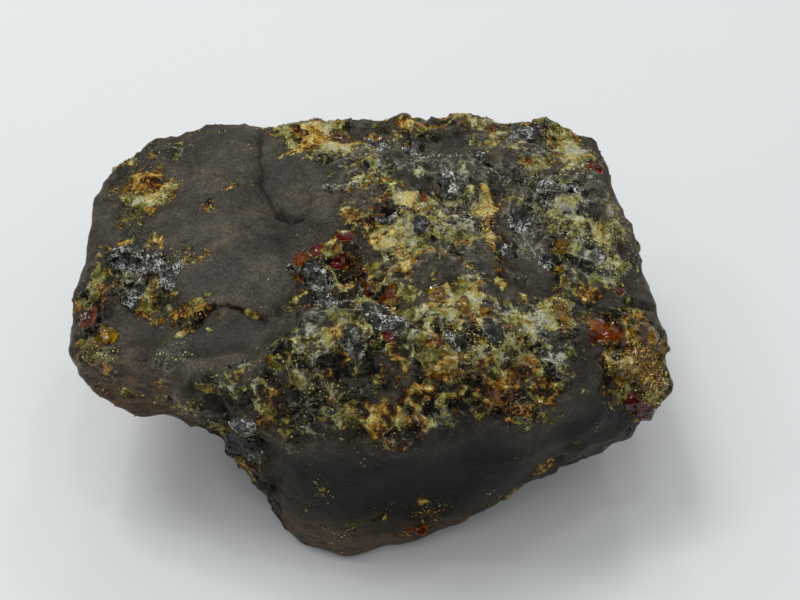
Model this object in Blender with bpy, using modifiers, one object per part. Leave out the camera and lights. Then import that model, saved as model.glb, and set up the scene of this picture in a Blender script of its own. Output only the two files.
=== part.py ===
"""A lump of raw amber, about twelve centimetres long, lying on the flat of its underside.

Blender 4.5 script: blender --background --python part.py. Metres, +Z up. The origin is on the
surface that the lump lies on, below its middle; +X runs along the lump and -Y is its front.

The lump is made the way such a stone gets its form. Two blocks with few corners are fused: the body,
which stands on a narrow foot, and a thinner lobe that juts out to the left. Knobs of resin swell
from them, and flakes were struck off, each leaving a dished scar. Weather then rounded the edges
and roughened the skin, and the lump came to lie on a worn flat.
"""

import math

import bmesh
import bpy
from mathutils import Matrix, Vector, noise

# Driving dimensions. Every place and size below is in millimetres of a lump of this length.
LENGTH = 0.120
MM = LENGTH / 120

VOXEL = 1.2  # grid on which blocks, knobs and scars are fused
FORM_STEPS, FACET_STEPS = 4, 1  # passes that round the edges of the form, and then those of its facets
TRIANGLES = 9300  # what the finished skin is thinned to

# The body: corner name to (x, y, z). The foot reaches below z = 0, where the worn flat cuts it.
BODY_CORNERS = {
    "foot front left": (-12, -36.5, -2),
    "foot front": (-3, -39.5, -1.5),
    "foot front right": (5, -37, -2),
    "foot left": (-26, -7, -2),
    "foot back left": (-20, 24, -2),
    "foot back right": (24, 24, -2),
    "foot right": (27, -16, -2),
    "notch": (-28, -27, 22),
    "belly left": (-34, 10, 16),
    "belly back left": (-30, 34, 16),
    "belly back": (0, 40, 14),
    "belly right": (42, -25, 11),
    "belly right back": (46, 24, 14),
    "belly right tip": (55, -20, 18),
    "right tip low": (58, -16, 25),
    "right tip": (60, -13.5, 32),
    "right side back": (58, 22, 30),
    "right shoulder": (55, 8, 41),
    "right back": (50.5, 34, 43),
    "back right": (50, 42, 43),
    "back right middle": (39, 45, 45),
    "back right low": (48, 42, 30),
    "back middle": (12, 44.5, 48),
    "back crest": (-4, 44, 49.5),
    "back low": (0, 44, 30),
    "back left": (-24, 41, 46.5),
    "front crest left": (-26, -27, 43.5),
    "front crest": (-5, -27, 50.5),
    "front crest right": (17, -25, 50.5),
    "front shoulder right": (38, -21, 47),
    "front corner right": (54, -16, 39),
    "brow left": (-20, -34.5, 34),
    "brow middle": (-5, -37.5, 37),
    "brow": (14, -37.5, 37.5),
    "brow right": (40, -31, 37),
}
# The lobe on the left, which the notch in front parts from the body's foot.
LOBE_CORNERS = {
    "crest": (-26, 10, 48.5),
    "crest back": (-24, 34, 48),
    "root back": (-24, 41, 46.5),
    "back left": (-45, 42, 44),
    "back left far": (-55, 32.5, 41.5),
    "left back": (-58.5, 23, 41),
    "left": (-58, 4, 40),
    "left tip": (-58.5, -12, 39),
    "left tip low": (-57.5, -18.5, 33.5),
    "front top left": (-54, -19, 40),
    "front low left": (-54, -21, 31),
    "front low middle": (-46, -24, 30),
    "front low": (-37, -25.5, 33),
    "front low right": (-31, -26.5, 32),
    "under left": (-52, 0, 27),
    "under back": (-48, 26, 26),
    "root front": (-20, -28, 45),
    "root low": (-18, -20, 16),
    "root low back": (-18, 30, 16),
}
# Knobs of resin: place on the surface, way it faces, length, width, height, turn of the length in degrees.
KNOBS = {
    "dome": ((-30, 12, 42.5), (0, 0, 1), 66, 27, 5.4, 86),
    "crest": ((8, -20, 47), (0, -0.2, 1), 50, 16, 5, -3),
    "back crest": ((0, 35, 46), (0, 0.2, 1), 28, 16, 5, 20),
    "right bank": ((44, 18, 43), (0.2, 0, 1), 22, 16, 4.5, 70),
    "right end upper": ((54, -12, 36), (1, -0.6, 0.5), 12, 10, 3.6, 0),
    "right end middle": ((55, -16.5, 30), (1, -0.8, 0.1), 11, 9, 3, 10),
    "right end lower": ((54, -18.5, 25), (0.9, -0.9, -0.2), 10, 8, 2.4, 0),
    "left corner": ((-53, -16.5, 38), (-0.6, -0.5, 0.7), 10, 8, 2.6, 0),
    "twist": ((-32, -25.5, 37), (-0.3, -1, 0.1), 7, 16, 2.2, -24),
    "toe": ((9, -36, 4), (0.3, -1, 0), 13, 5, 2.4, 8),
}
# Flake scars: place on the surface, way it faces, length, width, depth, turn of the length in degrees.
SCARS = {
    "trough": ((-17.5, 16, 49), (0.35, 0, 1), 50, 12, 4, -78),
    "trough mouth": ((-12, 3, 48.5), (0.1, 0, 1), 16, 12, 2.6, -40),
    "top hollow": ((-5, -3, 49), (0, -0.1, 1), 20, 14, 4.5, -15),
    "lower hollow": ((4, -15, 50), (-0.1, -0.1, 1), 12, 9, 3, -50),
    "terrace": ((12, 34, 49.5), (0, 0.3, 1), 44, 17, 3.6, -4),
    "terrace right": ((40, 35, 46), (0.2, 0.4, 1), 20, 14, 2.4, 0),
    "smooth hollow": ((35, 4, 47), (0.1, -0.1, 1), 26, 15, 3, 75),
    "right shelf": ((45, -10, 44), (0.4, -0.4, 1), 14, 9, 2, 30),
    "left pool": ((-43, -12, 41.5), (-0.2, -0.3, 1), 17, 11, 1.5, 0),
    "middle pool": ((-26, -17, 45.5), (-0.1, -0.4, 1), 26, 12, 2.4, 6),
    "left glass": ((-48, -1, 41.5), (-0.3, 0, 1), 15, 12, 1.4, 18),
    "orange facet": ((47, -16, 42), (0.3, -0.7, 0.7), 13, 8, 2, 35),
    "cleft": ((57.5, -4, 38), (0.9, -0.3, 0.5), 9, 3.5, 2.6, 10),
    "front dish": ((15, -38, 22), (0.1, -1, -0.1), 46, 24, 2.8, 4),
    "front right dish": ((40, -31, 32), (0.3, -1, 0), 26, 12, 2.4, -12),
    "front left dish": ((-20, -33, 27), (-0.5, -1, 0), 20, 15, 2.6, 20),
    "notch flank": ((-23, -29, 10), (-0.8, -0.6, -0.1), 34, 18, 3.4, 40),
    "right belly": ((32, -28.5, 5), (0.35, -0.6, -0.8), 50, 22, 4, 24),
    "lobe front": ((-46, -23, 34), (-0.1, -1, -0.1), 24, 6, 1.2, -6),
    "lobe under": ((-44, 2, 26), (-0.3, 0, -1), 36, 24, 3, 10),
    "back dish": ((5, 46, 30), (0, 1, 0.1), 52, 22, 3.6, 5),
    "back left dish": ((-38, 41, 33), (-0.3, 1, -0.1), 26, 16, 2.6, -10),
    "back right dish": ((47, 38, 28), (0.7, 0.7, 0), 24, 16, 2.6, 12),
    "back low dish": ((-5, 38, 10), (0, 0.8, -0.6), 42, 16, 3, -8),
    "right dish": ((59, 6, 29), (1, 0, 0), 30, 15, 2.4, 15),
    "right low dish": ((52, 2, 17), (0.8, 0, -0.6), 34, 14, 2.6, 0),
    "left dish": ((-58.5, 8, 35), (-1, 0, 0), 26, 8, 1.6, 8),
}
# Roughness of the skin: size of the swells and how far they rise, and the same for the chipped facets.
SWELL_SIZE, SWELL_RISE = 19, 1.6
CHIP_SIZE, CHIP_SLOPE = 10, 0.16
# Where the rind is whole and smooth: middle of the place and how far it reaches.
SMOOTH_PLACES = {
    "dome": ((-30, 14, 47), 25),
    "trough": ((-14, 16, 47), 14),
    "pools": ((-32, -16, 42), 16),
    "front face": ((12, -38, 18), 22),
    "back face": ((-8, 45, 28), 20),
}


def collection(name, shown=True):
    """A new collection in the scene. One that isn't shown holds the cutters."""
    made = bpy.data.collections.new(name)
    made.hide_render = not shown
    bpy.context.scene.collection.children.link(made)
    return made


def mesh_object(name, bm, home):
    """An object in the collection home, with what bm holds as its mesh."""
    mesh = bpy.data.meshes.new(name)
    bm.to_mesh(mesh)
    bm.free()
    made = bpy.data.objects.new(name, mesh)
    home.objects.link(made)
    return made


def block(name, corners, home):
    """The tightest convex stone round the corners."""
    bm = bmesh.new()
    for place in corners.values():
        bm.verts.new(Vector(place) * MM)
    hull = bmesh.ops.convex_hull(bm, input=bm.verts)
    inside = [piece for piece in hull["geom_interior"] if isinstance(piece, bmesh.types.BMVert)]
    bmesh.ops.delete(bm, geom=inside, context="VERTS")
    bmesh.ops.recalc_face_normals(bm, faces=bm.faces)
    return mesh_object(name, bm, home)


def turned_to(facing, turn):
    """The rotation that takes +Z to facing and turns by turn degrees about it.

    The length lies along +X before the turn, or along +Y on the two ends, which face along X."""
    up = Vector(facing).normalized()
    side = Vector((0, 1, 0)) if abs(up.x) > 0.9 else Vector((1, 0, 0))
    side = (side - side.dot(up) * up).normalized()
    square = Matrix((side, up.cross(side), up)).transposed()
    return square.to_4x4() @ Matrix.Rotation(math.radians(turn), 4, "Z")


def egg(name, centre, radii, turning, home):
    """An ellipsoid with these radii, in millimetres, about its centre."""
    bm = bmesh.new()
    bmesh.ops.create_icosphere(bm, subdivisions=4, radius=1)
    shape = turning @ Matrix.Diagonal(Vector(radii) * MM).to_4x4()
    bmesh.ops.transform(bm, matrix=Matrix.Translation(centre * MM) @ shape, verts=bm.verts)
    return mesh_object(name, bm, home)


def knob(name, place, facing, length, width, height, turn, home):
    """A swelling that stands height out of the surface at place."""
    return egg(name, Vector(place), (length / 2, width / 2, height), turned_to(facing, turn), home)


def scar(name, place, facing, length, width, depth, turn, home):
    """The egg that leaves a dish of this length, width and depth when it is taken from the surface.

    Its height is four depths, so its rim is cut at half its upright radius, where it is
    sqrt(3) / 2 of its full width."""
    rim = math.sqrt(3) / 2
    radii = (length / 2 / rim, width / 2 / rim, 2 * depth)
    centre = Vector(place) + Vector(facing).normalized() * depth
    return egg(name, centre, radii, turned_to(facing, turn), home)


def fuse(lump, others, operation):
    """Adds the others to the lump, or takes them from it."""
    for other in others:
        other.hide_render = True
        other.display_type = "WIRE"
        step = lump.modifiers.new(other.name, "BOOLEAN")
        step.operation = operation
        step.object = other


def weather(lump, steps):
    """One closed skin over all that the lump is made of, with its edges rounded in so many steps."""
    skin = lump.modifiers.new("skin", "REMESH")
    skin.mode = "VOXEL"
    skin.voxel_size = VOXEL * MM
    skin.use_smooth_shade = True
    rounded = lump.modifiers.new("rounded", "SMOOTH")
    rounded.factor = 0.5
    rounded.iterations = steps


def chipped(place):
    """How much of the rind is broken at place, from 0 in the middle of a smooth place to 1 outside them."""
    share = 1.0
    for middle, reach in SMOOTH_PLACES.values():
        share = min(share, (place - Vector(middle)).length / reach)
    return share * share


def facet(place, seed):
    """Height at place of the flat facet round a seed, whose slope is a random vector of that seed."""
    slope = (noise.cell_vector(seed * 7.3) - Vector((0.5, 0.5, 0.5))) * 2 * CHIP_SLOPE
    return (place - seed * CHIP_SIZE).dot(slope)


def relief(place):
    """Height of the skin over the rounded form: slow swells, and facets that lean each its own way.

    The facets round the nearest seeds cross, and the lowest of them is the skin, as if each had been
    cut in turn, so they meet in sharp ridges."""
    swell = noise.noise(place / SWELL_SIZE) * SWELL_RISE
    seeds = noise.voronoi(place / CHIP_SIZE)[1][:3]
    lean = min(facet(place, seed) for seed in seeds) + CHIP_SIZE * CHIP_SLOPE / 3
    return swell + lean * chipped(place)


def roughen(mesh):
    """Moves every point of the skin along its normal by the relief there."""
    moved = [point.co + point.normal * relief(point.co / MM) * MM for point in mesh.vertices]
    for point, place in zip(mesh.vertices, moved):
        point.co = place


def skin_of(stone):
    """The stone's mesh with its modifiers applied."""
    graph = bpy.context.evaluated_depsgraph_get()
    return bpy.data.meshes.new_from_object(stone.evaluated_get(graph))


def thin(lump):
    """Brings the lump down to about TRIANGLES faces, fewest where it is flattest."""
    skin = skin_of(lump)
    skin.calc_loop_triangles()
    thinned = lump.modifiers.new("thinned", "DECIMATE")
    thinned.ratio = TRIANGLES / len(skin.loop_triangles)


def bed(home):
    """The ground that the lump wore itself flat on: everything below z = 0."""
    bm = bmesh.new()
    bmesh.ops.create_cube(bm, size=2 * LENGTH)
    bmesh.ops.translate(bm, vec=(0, 0, -LENGTH), verts=bm.verts)
    return mesh_object("bed", bm, home)


def amber_rind():
    """The weathered skin: a dark grey brown with a dull shine."""
    rind = bpy.data.materials.new("amber rind")
    rind.use_nodes = True
    shader = rind.node_tree.nodes["Principled BSDF"]
    shader.inputs["Base Color"].default_value = (0.045, 0.034, 0.026, 1)
    shader.inputs["Roughness"].default_value = 0.45
    shader.inputs["Metallic"].default_value = 0
    shader.inputs["IOR"].default_value = 1.54
    return rind


def main():
    for old in list(bpy.data.objects):
        bpy.data.objects.remove(old)
    finished = collection("raw amber")
    cutters = collection("cutters", shown=False)

    stone = block("stone", BODY_CORNERS, cutters)
    swellings = [knob(name, *sizes, cutters) for name, sizes in KNOBS.items()]
    scars = [scar(name, *sizes, cutters) for name, sizes in SCARS.items()]
    fuse(stone, [block("lobe", LOBE_CORNERS, cutters), *swellings], "UNION")
    fuse(stone, scars, "DIFFERENCE")
    weather(stone, FORM_STEPS)

    skin = skin_of(stone)
    roughen(skin)
    lump = bpy.data.objects.new("amber_lump", skin)
    finished.objects.link(lump)
    weather(lump, FACET_STEPS)
    thin(lump)
    fuse(lump, [bed(cutters)], "DIFFERENCE")
    lump.data.materials.append(amber_rind())


main()
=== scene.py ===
import math

import bpy
import numpy as np
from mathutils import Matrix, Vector


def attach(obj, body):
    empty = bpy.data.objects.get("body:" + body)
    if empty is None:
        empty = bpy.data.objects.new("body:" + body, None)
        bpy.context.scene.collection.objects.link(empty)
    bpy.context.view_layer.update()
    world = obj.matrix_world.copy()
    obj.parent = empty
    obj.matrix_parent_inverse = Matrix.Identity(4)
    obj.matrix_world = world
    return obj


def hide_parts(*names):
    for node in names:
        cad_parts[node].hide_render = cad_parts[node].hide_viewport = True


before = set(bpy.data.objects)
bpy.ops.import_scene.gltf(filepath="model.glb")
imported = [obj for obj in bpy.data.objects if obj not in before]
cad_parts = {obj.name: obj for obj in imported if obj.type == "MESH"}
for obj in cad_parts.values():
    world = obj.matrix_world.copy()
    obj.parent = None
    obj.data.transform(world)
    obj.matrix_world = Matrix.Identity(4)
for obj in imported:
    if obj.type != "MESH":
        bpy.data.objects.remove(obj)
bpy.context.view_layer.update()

# ---- Rind ------------------------------------------------------------------------------------
# The skin of the whole lump: fossil resin that has weathered to a dark, satin rind, smooth where it
# is whole and full of small flake scars where it is broken. Cream crust fills its rough places, and
# the flakes laid bare black glossy resin. Lengths below are in millimetres.

MM = 0.001
CELLS = (176, 128, 88)  # cells of the sheet along x, y and z

# Lines up the four walls from the worn flat to the top, near which the sheet starts:
# (x, z) on the left and right, (y, z) in front and behind.
WALLS = {
    "left": [(-25, 0), (-31, 10), (-33, 19), (-42, 24), (-52, 27), (-58, 33), (-58, 39), (-54, 44)],
    "right": [(28, 0), (44, 9), (54, 17), (60, 25), (59, 33), (54, 42)],
    "front": [(-36, 0), (-38, 10), (-38, 25), (-35, 38), (-25, 53)],
    "back": [(26, 0), (36, 10), (41, 20), (44, 31), (45, 44)],
}


def box_sheet(cells):
    """Six grids that cover a box and share the points along its edges.

    On each grid one coordinate stays at an end of the box and the other two run over the cells.
    Returns the points, -1 to 1 along x, y and z, and the quads, which face outwards."""
    points, quads, first = [], [], 0
    for axis in range(3):
        one, two = (axis + 1) % 3, (axis + 2) % 3
        runs = np.arange(cells[one] + 1), np.arange(cells[two] + 1)
        steps_one, steps_two = np.meshgrid(*runs, indexing="ij")
        for end in (0, 1):
            side = np.zeros(steps_one.shape + (3,), int)
            side[..., axis], side[..., one], side[..., two] = end * cells[axis], steps_one, steps_two
            index = first + np.arange(steps_one.size).reshape(steps_one.shape)
            corners = [index[:-1, :-1], index[1:, :-1], index[1:, 1:], index[:-1, 1:]]
            quads.append(np.stack(corners if end else corners[::-1], -1).reshape(-1, 4))
            points.append(side.reshape(-1, 3))
            first += steps_one.size
    points, shared = np.unique(np.concatenate(points), axis=0, return_inverse=True)
    return 2 * points / np.array(cells) - 1, shared.reshape(-1)[np.concatenate(quads)]


def up_wall(wall, share):
    """Place on a wall's line at each share, 0 to 1, of the line's length."""
    stops = np.array(WALLS[wall], float)
    run = np.concatenate([[0], np.cumsum(np.linalg.norm(np.diff(stops, axis=0), axis=1))])
    return [np.interp(share * run[-1], run, column) for column in stops.T]


def wrapped(box_points):
    """Where the points of the box sheet start, in millimetres.

    A point's z in the box is its share of the way up all four walls. Its x runs straight from the
    left wall to the right one and its y from the front to the back. Its height is the mean of the
    heights on both pairs of walls, each pair weighed by the fourth power of how near it is, plus a
    hundredth."""
    across, along = (box_points[:, 0] + 1) / 2, (box_points[:, 1] + 1) / 2
    share = (box_points[:, 2] + 1) / 2
    (left, left_up), (right, right_up) = up_wall("left", share), up_wall("right", share)
    (front, front_up), (back, back_up) = up_wall("front", share), up_wall("back", share)
    near_x, near_y = box_points[:, 0] ** 4 + 0.01, box_points[:, 1] ** 4 + 0.01
    up_x, up_y = left_up + (right_up - left_up) * across, front_up + (back_up - front_up) * along
    up = (near_x * up_x + near_y * up_y) / (near_x + near_y)
    return np.stack([left + (right - left) * across, front + (back - front) * along, up], -1)


def new_piece(name, points, faces, smooth=True):
    """An object at the origin with these points, in millimetres, and faces as its mesh."""
    mesh = bpy.data.meshes.new(name)
    mesh.vertices.add(len(points))
    mesh.vertices.foreach_set("co", (points * MM).astype(np.float32).ravel())
    mesh.loops.add(faces.size)
    mesh.loops.foreach_set("vertex_index", faces.astype(np.int32).ravel())
    mesh.polygons.add(len(faces))
    mesh.polygons.foreach_set("loop_start", np.arange(0, faces.size, faces.shape[1], dtype=np.int32))
    mesh.polygons.foreach_set("use_smooth", np.full(len(faces), smooth))
    mesh.update(calc_edges=True)
    mesh.validate()
    made = bpy.data.objects.new(name, mesh)
    bpy.context.scene.collection.objects.link(made)
    return made


def laid_on(points, quads, solid, rounds):
    """The points laid on the solid and spread evenly over it: each round moves every point to the
    nearest place on the solid and then, so many times, halfway to the middle of its neighbours."""
    draft = new_piece("draft", points, quads)
    for smoothing in rounds:
        draft.modifiers.new("laid", "SHRINKWRAP").target = solid
        spread = draft.modifiers.new("spread", "SMOOTH")
        spread.factor, spread.iterations = 0.5, smoothing
    shown = draft.evaluated_get(bpy.context.evaluated_depsgraph_get()).data
    laid = np.empty(len(points) * 3, np.float32)
    shown.vertices.foreach_get("co", laid)
    bpy.data.objects.remove(draft)
    return laid.reshape(-1, 3).astype(float) / MM


def outward(points, quads):
    """Unit normal at each point: the sum of the crossed diagonals of the quads round it."""
    one, two, three, four = (points[quads[:, corner]] for corner in range(4))
    crossed = np.repeat(np.cross(three - one, four - two), 4, axis=0)
    total = [np.bincount(quads.ravel(), crossed[:, axis], len(points)) for axis in range(3)]
    total = np.stack(total, -1)
    return total / np.maximum(np.linalg.norm(total, axis=1, keepdims=True), 1e-9)


def even(values, quads, times):
    """The values smoothed over the sheet: so many times, each point takes the mean of its quads'
    means."""
    shared = np.bincount(quads.ravel(), minlength=len(values))
    for _ in range(times):
        middles = values[quads].mean(1)
        values = np.bincount(quads.ravel(), np.repeat(middles, 4), len(values)) / shared
    return values


def hashed(cells, seed):
    """Three even random numbers, 0 to 1, for each cell of a grid, from its three whole numbers: they
    are multiplied by large odd numbers and added, and the bits of the sum are mixed."""
    mixed = cells.astype(np.int64).view(np.uint64) * np.array(
        [0x9E3779B185EBCA87, 0xC2B2AE3D27D4EB4F, 0x165667B19E3779F9], np.uint64)
    mixed = mixed.sum(-1) + np.uint64(seed * 2654435761 + 97)
    mixed = (mixed ^ (mixed >> np.uint64(29))) * np.uint64(0xBF58476D1CE4E5B9)
    mixed = (mixed ^ (mixed >> np.uint64(32))) * np.uint64(0x94D049BB133111EB)
    mixed ^= mixed >> np.uint64(31)
    low_bits = np.uint64(0xFFFFF)
    return np.stack([(mixed >> np.uint64(shift) & low_bits) / 0xFFFFF for shift in (0, 21, 42)], -1)


def cloud(places, size, seed, octaves=1):
    """Soft noise, about -1 to 1: random heights on a grid of this size, joined by smooth steps, and
    more of it at half the size and half the height for each further octave."""
    total = np.zeros(len(places))
    for octave in range(octaves):
        grid = places / size * 2**octave
        cell = np.floor(grid)
        part = grid - cell
        part = part**3 * (part * (part * 6 - 15) + 10)
        for corner in np.ndindex(2, 2, 2):
            share = np.where(corner, part, 1 - part).prod(-1)
            total += share * (2 * hashed(cell + corner, seed + octave)[:, 0] - 1) * 0.5**octave
    return total


def strayed_by(places, reach, size, seed, octaves):
    """The places moved along x, y and z by three clouds of this size, up to about this reach."""
    return places + reach * np.stack([cloud(places, size, seed + axis, octaves) for axis in range(3)], -1)


def scoops(places, size, lean, bowl, seed):
    """Flake scars side by side. Each cell of a grid of this size has one seed at a random place, and
    round the seed lies a dish: a random slope, up to lean, plus bowl times the square of the
    distance. The skin is the lowest dish, so the scars meet in sharp ridges.

    Returns the height, and how much higher the next dish is, which is nought on a ridge."""
    cell = np.floor(places / size)
    lowest = np.full(len(places), 9.0)  # higher than any dish near by
    second = lowest.copy()
    for step in np.ndindex(3, 3, 3):
        near = cell + step - 1
        away = places / size - near - hashed(near, seed)
        slope = (hashed(near, seed + 1) - 0.5) * 2 * lean
        height = (away * slope).sum(-1) + bowl * (away**2).sum(-1)
        second = np.minimum(second, np.maximum(lowest, height))
        lowest = np.minimum(lowest, height)
    return lowest * size, (second - lowest) * size


def belonging(places, spots, power=4):
    """How far each place belongs to any of the spots, 0 to its strength. A spot is a middle, its
    reach along x, y and z, and its strength, and it fades as exp(-d^power), where d is the distance
    in reaches."""
    best = np.zeros(len(places))
    for *spot, strength in spots.values():
        away = (((places - spot[:3]) / spot[3:]) ** 2).sum(-1) ** (power / 2)
        best = np.maximum(best, strength * np.exp(-away))
    return best


def beside(places, line):
    """The distance from each place to a line of straight runs, the side that the place is on
    (positive on the left of the way the line runs) and how far along the line it is. Places and
    line are both (x, y), as seen from above, or both in space, where the side is still the one
    seen from above."""
    stops = np.array(line, float)
    nearest = np.full(len(places), 1e9)
    side, along, run = np.zeros(len(places)), np.zeros(len(places)), 0.0
    for start, end in zip(stops[:-1], stops[1:]):
        way = end - start
        length = np.linalg.norm(way)
        offset = places - start
        share = np.clip(offset @ way / length**2, 0, 1)
        away = np.linalg.norm(offset - share[:, None] * way, axis=1)
        closer = away < nearest
        nearest = np.where(closer, away, nearest)
        turn = way[0] * offset[:, 1] - way[1] * offset[:, 0]
        side = np.where(closer, np.sign(turn), side)
        along = np.where(closer, run + share * length, along)
        run += length
    return nearest, side, along


def tapered(along):
    """A strength along a line: nought at its two ends and one from a fifth of the way in."""
    share = along / max(along.max(), 1e-9)
    return np.clip(np.minimum(share, 1 - share) * 5, 0, 1)


def bell(away, width):
    """exp(-(away/width)^2): one on a line, and nearly nought from twice the width."""
    return np.exp(-((away / width) ** 2))


def ledge(line, rise, width, fade):
    """A step along a line, seen from above: the skin on the line's left drops by half of rise, and on
    its right it stands half of rise proud, within width. It fades as exp(-distance/fade)."""
    away, side, along = beside(waved[:, :2], line)
    return np.tanh(away / width) * np.exp(-away / fade) * -side * tapered(along) * rise / 2 * on_top


def groove(line, deep, width):
    """A crease along a line, seen from above: it is deep and wide as exp(-(distance/width)^2)."""
    away, _, along = beside(waved[:, :2], line)
    return -deep * bell(away, width) * tapered(along) * on_top


# A spot is its middle (x, y, z), its reach along x, y and z, and its strength. The first spots say
# where the rind is whole and smooth.
WHOLE = {
    "dome": (-32, 15, 48, 12, 27, 9, 1.0),
    "valley": (-20, 17, 47, 9, 22, 8, 0.97),
    "foot of the dome": (-23, -5, 46, 12, 9, 7, 0.9),
    "middle pool": (-28, -18, 43, 13, 6.5, 6, 1.0),
    "left pool": (-42, -13, 40, 8, 5.5, 6, 0.95),
    "front face": (14, -37, 22, 28, 8, 14, 0.95),
    "front foot": (0, -38, 8, 18, 8, 8, 0.7),
    "oval facet": (43, -28, 29, 11, 8, 7, 1.0),
    "smooth hollow": (32, 3, 46, 6, 9, 6, 0.3),
    "terrace": (6, 33, 47, 11, 4.5, 5, 0.4),
    "lobe front": (-43, -23, 34, 15, 6, 6, 0.75),
    "back face": (-10, 44, 27, 27, 9, 13, 0.95),
    "right end": (59, 8, 26, 8, 15, 8, 0.85),
    "lobe underside": (-46, 8, 27, 14, 22, 7, 0.9),
    "left end": (-58, 12, 37, 6, 16, 5, 0.8),
    "back right": (44, 36, 22, 14, 10, 9, 0.8),
}
# Where the rind is broken and full of small flake scars.
BROKEN = {
    "glossy hollow": (-3, -8, 48, 12, 10, 6, 1.35),
    "middle of the top": (8, 8, 50, 14, 16, 7, 0.85),
    "right of the top": (44, 10, 45, 9, 24, 7, 0.75),
    "top right": (28, 19, 47, 17, 10, 6, 0.75),
    "front crest": (14, -24, 49, 30, 8, 8, 1.0),
    "brow": (4, -33, 42, 34, 6, 6, 0.9),
    "left glass": (-42, -1, 43, 12, 8, 7, 1.4),
    "right corner": (52, -16, 36, 9, 10, 12, 1.0),
    "left corner": (-53, -9, 40, 5, 10, 5, 0.9),
    "notch": (-25, -27, 22, 9, 7, 18, 0.85),
    "valley back": (-13, 35, 48, 10, 8, 6, 0.7),
    "back rim": (20, 43, 44, 36, 5, 7, 0.8),
    "right belly": (38, -12, 6, 18, 20, 8, 0.6),
    "left crust": (-47, 23, 43, 9, 8, 6, 0.55),
}
# Lines seen from above, (x, y). The left of a line's way is the lower side of its step.
TERRACE_LEDGE = [(-8, 19), (2, 19), (6, 24), (13, 29), (20, 29), (26, 26), (30, 22), (38, 25), (47, 25)]
TERRACE_BACK_LEDGE = [(24, 33), (31, 31), (41, 35), (48, 36)]
POOL_STEP = [(-17, -17), (-20, -14.5), (-22, -13), (-27, -12), (-30, -13), (-33, -15), (-38, -17)]
VEIN = [(24, 20), (25, 15), (25, 8), (26, 1), (26, -5), (27, -10)]
FOLD = [(-23, 41), (-22, 29), (-21, 21), (-19, 15.5), (-15, 12.5), (-11, 12.5)]
SKIRT = [(-19, 16), (-16.5, 9), (-15.5, 2), (-16, -9), (-19, -15)]
SHELL_CRACKS = [
    [(30, 12), (32.6, 15), (35.3, 15.6), (37, 14.2), (37, 11)],
    [(29, 11.5), (31, 11.2), (33.5, 10.7), (36, 10), (35.3, 7.3), (33, 5)],
    [(35.5, 9.5), (38, 12), (41, 13)],
    [(40, 9), (41, 5), (43, 2)],
]
CLEFT = [(50, -6.5), (54, -6), (60, -3)]
# The steps: each one's line, how high it is, how wide, and how far it fades.
LEDGES = {
    "terrace": (TERRACE_LEDGE, 2.2, 0.3, 3.0),
    "behind the terrace": (TERRACE_BACK_LEDGE, 1.6, 0.3, 3.0),
    "pool step": (POOL_STEP, 0.9, 0.3, 2.2),
    "fold": (FOLD[::-1], 0.8, 0.4, 4.0),
    "skirt": (SKIRT[::-1], 0.9, 0.6, 3.0),
}
# The creases: each one's line, how deep it is and how wide.
GROOVES = [(FOLD, 1.0, 0.6), (FOLD[-3:], 1.2, 0.7), (CLEFT, 2.2, 0.8)]
GROOVES += [(crack, 0.9, 0.45) for crack in SHELL_CRACKS]
# The twisted rib beside the notch, (x, y, z), its height and width, and the small hole above it.
RIB, RIB_HIGH, RIB_WIDE = [(-38, -22, 41), (-33, -26, 37), (-30, -27, 32), (-29, -26, 26)], 1.2, 2.0
HOLE, HOLE_DEEP, HOLE_WIDE = (-36, -23, 41), 2.4, 1.3
VEIN_HIGH, VEIN_WIDE, VEIN_COLOUR_WIDE = 0.6, 0.8, 0.95
# Flake scars: their width, lean, bowl, share of the relief and seed, and the width and the whiteness
# of the ridges between them, a white frost that is partly painted glints.
SCARS = {
    "large": (9.5, 0.26, 0.16, 0.8, 1, 0.3, 0.7),
    "middling": (4.4, 0.42, 0.26, 1.1, 3, 0.25, 0.6),
    "small": (2.3, 0.55, 0.36, 1.0, 5, 0.12, 0.3),
}

box_points, rind_quads = box_sheet(CELLS)
laid = laid_on(wrapped(box_points), rind_quads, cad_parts["amber_lump"], (12, 12, 12, 12, 10, 7))
facing = outward(laid, rind_quads)
on_top = np.clip(facing[:, 2] * 2, 0, 1)  # nought where the skin doesn't face up
lying = np.clip(laid[:, 2] / 2.5, 0, 1)  # nought on the worn flat
strayed = strayed_by(laid, 2.6, 8, seed=70, octaves=3)  # spots' borders stray with this
waved = strayed_by(laid, 0.8, 4.5, seed=60, octaves=2)  # lines waver with this
swirled = strayed_by(laid, 1.6, 9, seed=30, octaves=2)  # larger scars bend with this
whole = belonging(strayed, WHOLE)
broken = 0.45 + 0.6 * belonging(strayed, BROKEN, 3) - whole + 0.12 * cloud(laid, 6, seed=41, octaves=2)
broken = np.clip(broken, 0.03, 1)

relief, ridges = 0, 0
for kind, (size, lean, bowl, share, seed, ridge_wide, ridge_white) in SCARS.items():
    scar, over = scoops(laid if kind == "small" else swirled, size, lean, bowl, seed)
    relief = relief + share * (scar - scar.mean())
    ridges = ridges + ridge_white * np.exp(-over / ridge_wide)
rise = broken * relief + 0.3 * cloud(laid, 15, seed=7, octaves=2)
rise += (0.05 + 0.45 * broken) * cloud(laid, 2.8, seed=9, octaves=3)

# Where the skin stands prouder, or lies lower, than the plain lump, in millimetres.
SWELL = {
    "back rim": (-20, 43, 44, 26, 9, 9, 1.2),
    "back middle": (1, 43, 46, 9, 8, 7, 1.8),
    "left back": (-50, 31, 41, 11, 12, 8, 0.9),
    "left corner": (-56, -13, 36, 7, 12, 8, 0.7),
    "lobe front": (-46, -25, 33, 14, 6, 7, 0.3),
}
SINK = {
    "back right": (40, 40, 43, 8, 8, 7, 0.5),
    "back right of the middle": (24, 43, 45, 10, 6, 5, 0.7),
}
rise += belonging(laid, SWELL, 2) - belonging(laid, SINK, 2) + 0.15

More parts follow.
